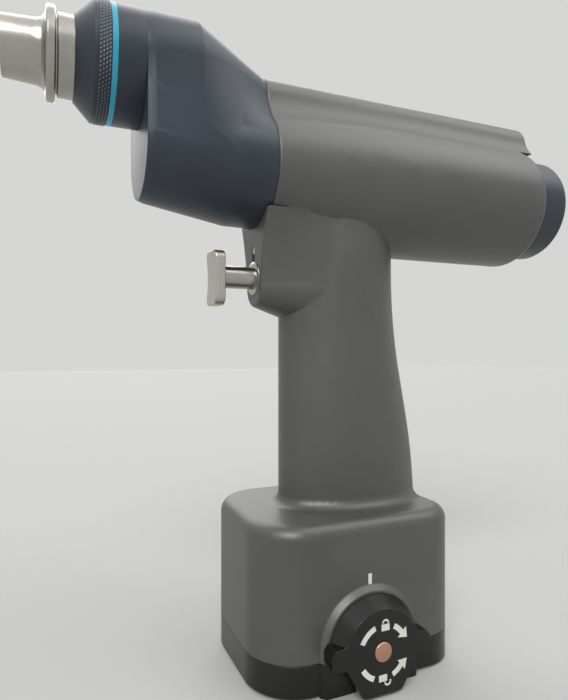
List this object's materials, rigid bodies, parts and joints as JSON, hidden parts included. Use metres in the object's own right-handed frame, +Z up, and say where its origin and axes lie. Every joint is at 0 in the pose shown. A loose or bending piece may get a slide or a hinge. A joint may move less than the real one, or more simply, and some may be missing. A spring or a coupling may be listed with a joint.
{
  "type": "surgical power drill",
  "caption": "Pistol-grip battery surgical drill: offset geared nose with quick coupling, finger trigger, battery base with hinged lid and lock knob.",
  "frame": {"origin": "Centre of the flat underside of the battery housing's lid, below the middle of the battery housing.", "axes": "+Z up along the grip, -X out of the nose along the drive, so +X is the rear; +Y is the far side, where the lid's hinge is, and -Y the near side with the lock knob."},
  "size_m": [0.2107, 0.0708, 0.2187],
  "materials": {
    "housing_grey": "satin",
    "slate": "satin",
    "teal": "satin",
    "steel": "satin",
    "black_plastic": "matte",
    "copper": "satin",
    "seal_rubber": "matte",
    "winding": "satin",
    "laminate": "satin",
    "magnet": "satin",
    "cell_wrap": "gloss",
    "contact_brass": "polished",
    "foam": "matte"
  },
  "bodies": {
    "housing": {"nose_tube": "steel", "coupling_balls": "steel", "sleeve_spring": "steel", "drive_barrel": "slate", "colour_ring": "teal", "spindle_front_bearing": "steel", "spindle_rear_bearing": "steel", "pinion_bearing": "steel", "carrier_bearing": "steel", "ring_gear": "steel", "gear_housing": "slate", "seam_seal": "seal_rubber", "bearing_retainer": "steel", "body_housing": "housing_grey", "slot_pin": "steel", "motor_can": "steel", "motor_front_bearing": "steel", "stator_core": "magnet", "stator_windings": "winding", "motor_end_bell": "steel", "motor_rear_bearing": "steel", "motor_board": "laminate", "motor_clamp_ring": "black_plastic", "rear_cap": "slate", "cap_seal": "seal_rubber", "trigger_bush": "steel", "trigger_spring": "steel", "sensor_carrier": "black_plastic", "hall_sensor": "black_plastic", "control_board": "laminate", "battery_case": "black_plastic", "battery_cells": "cell_wrap", "battery_board": "laminate", "battery_terminals": "contact_brass", "contact_block": "black_plastic", "contact_pins": "contact_brass", "hinge_pin": "steel"},
    "rotor": {"rotor_shaft": "steel", "rotor_magnet": "magnet", "sun_gear": "steel"},
    "carrier": {"planet_carrier": "steel", "planet_pins": "steel", "pinion": "steel"},
    "planet_a": {"planet_gear_1": "steel"},
    "planet_b": {"planet_gear_2": "steel"},
    "planet_c": {"planet_gear_3": "steel"},
    "drive_spindle": {"spindle": "steel", "spindle_gear": "steel"},
    "release_sleeve": {"coupling_sleeve": "steel", "sleeve_collar": "steel"},
    "setting_collar": {"lock_collar": "slate"},
    "trigger": {"trigger_pad": "steel", "trigger_rod": "steel", "trigger_magnet": "magnet"},
    "lock": {"lock_knob": "black_plastic", "knob_screw": "copper", "knob_shaft": "steel"},
    "lid": {"base_lid": "black_plastic", "lid_seal": "seal_rubber", "battery_pad": "foam"}
  },
  "joints": [
    {"name": "motor_spin", "type": "hinge", "parent": "housing", "child": "rotor", "pos_m": [0, 0, 0.1729], "axis": [1, 0, 0], "continuous": true},
    {"name": "carrier_spin", "type": "hinge", "parent": "housing", "child": "carrier", "pos_m": [-0.027, 0, 0.1729], "axis": [1, 0, 0], "continuous": true},
    {"name": "planet_spin_1", "type": "hinge", "parent": "carrier", "child": "planet_a", "pos_m": [-0.0191, 0, 0.18302], "axis": [1, 0, 0], "continuous": true},
    {"name": "planet_spin_2", "type": "hinge", "parent": "carrier", "child": "planet_b", "pos_m": [-0.0191, -0.00877, 0.16784], "axis": [1, 0, 0], "continuous": true},
    {"name": "planet_spin_3", "type": "hinge", "parent": "carrier", "child": "planet_c", "pos_m": [-0.0191, 0.00877, 0.16784], "axis": [1, 0, 0], "continuous": true},
    {"name": "spindle_spin", "type": "hinge", "parent": "housing", "child": "drive_spindle", "pos_m": [-0.06, 0, 0.2004], "axis": [1, 0, 0], "continuous": true},
    {"name": "sleeve_slide", "type": "slide", "parent": "housing", "child": "release_sleeve", "axis": [1, 0, 0], "range_m": [0, 0.0045], "stiffness_N_per_m": 900, "springref_m": -0.003, "deforming": ["sleeve_spring"]},
    {"name": "collar_turn", "type": "hinge", "parent": "housing", "child": "setting_collar", "pos_m": [-0.085, 0, 0.2004], "axis": [1, 0, 0], "range_deg": [0, 60]},
    {"name": "trigger_slide", "type": "slide", "parent": "housing", "child": "trigger", "axis": [1, 0, 0], "range_m": [0, 0.007], "stiffness_N_per_m": 450, "springref_m": -0.002, "deforming": ["trigger_spring"]},
    {"name": "knob_turn", "type": "hinge", "parent": "housing", "child": "lock", "pos_m": [0, -0.033, 0.0144], "axis": [0, 1, 0], "range_deg": [0, 180]},
    {"name": "lid_hinge", "type": "hinge", "parent": "housing", "child": "lid", "pos_m": [0, 0.0314, 0.0108], "axis": [1, 0, 0], "range_deg": [0, 100]}
  ],
  "couplings": [
    {"joint": "carrier_spin", "follows": "motor_spin", "ratio": 0.22222},
    {"joint": "planet_spin_1", "follows": "motor_spin", "ratio": -0.62222},
    {"joint": "planet_spin_2", "follows": "motor_spin", "ratio": -0.62222},
    {"joint": "planet_spin_3", "follows": "motor_spin", "ratio": -0.62222},
    {"joint": "spindle_spin", "follows": "motor_spin", "ratio": -0.19923}
  ]
}
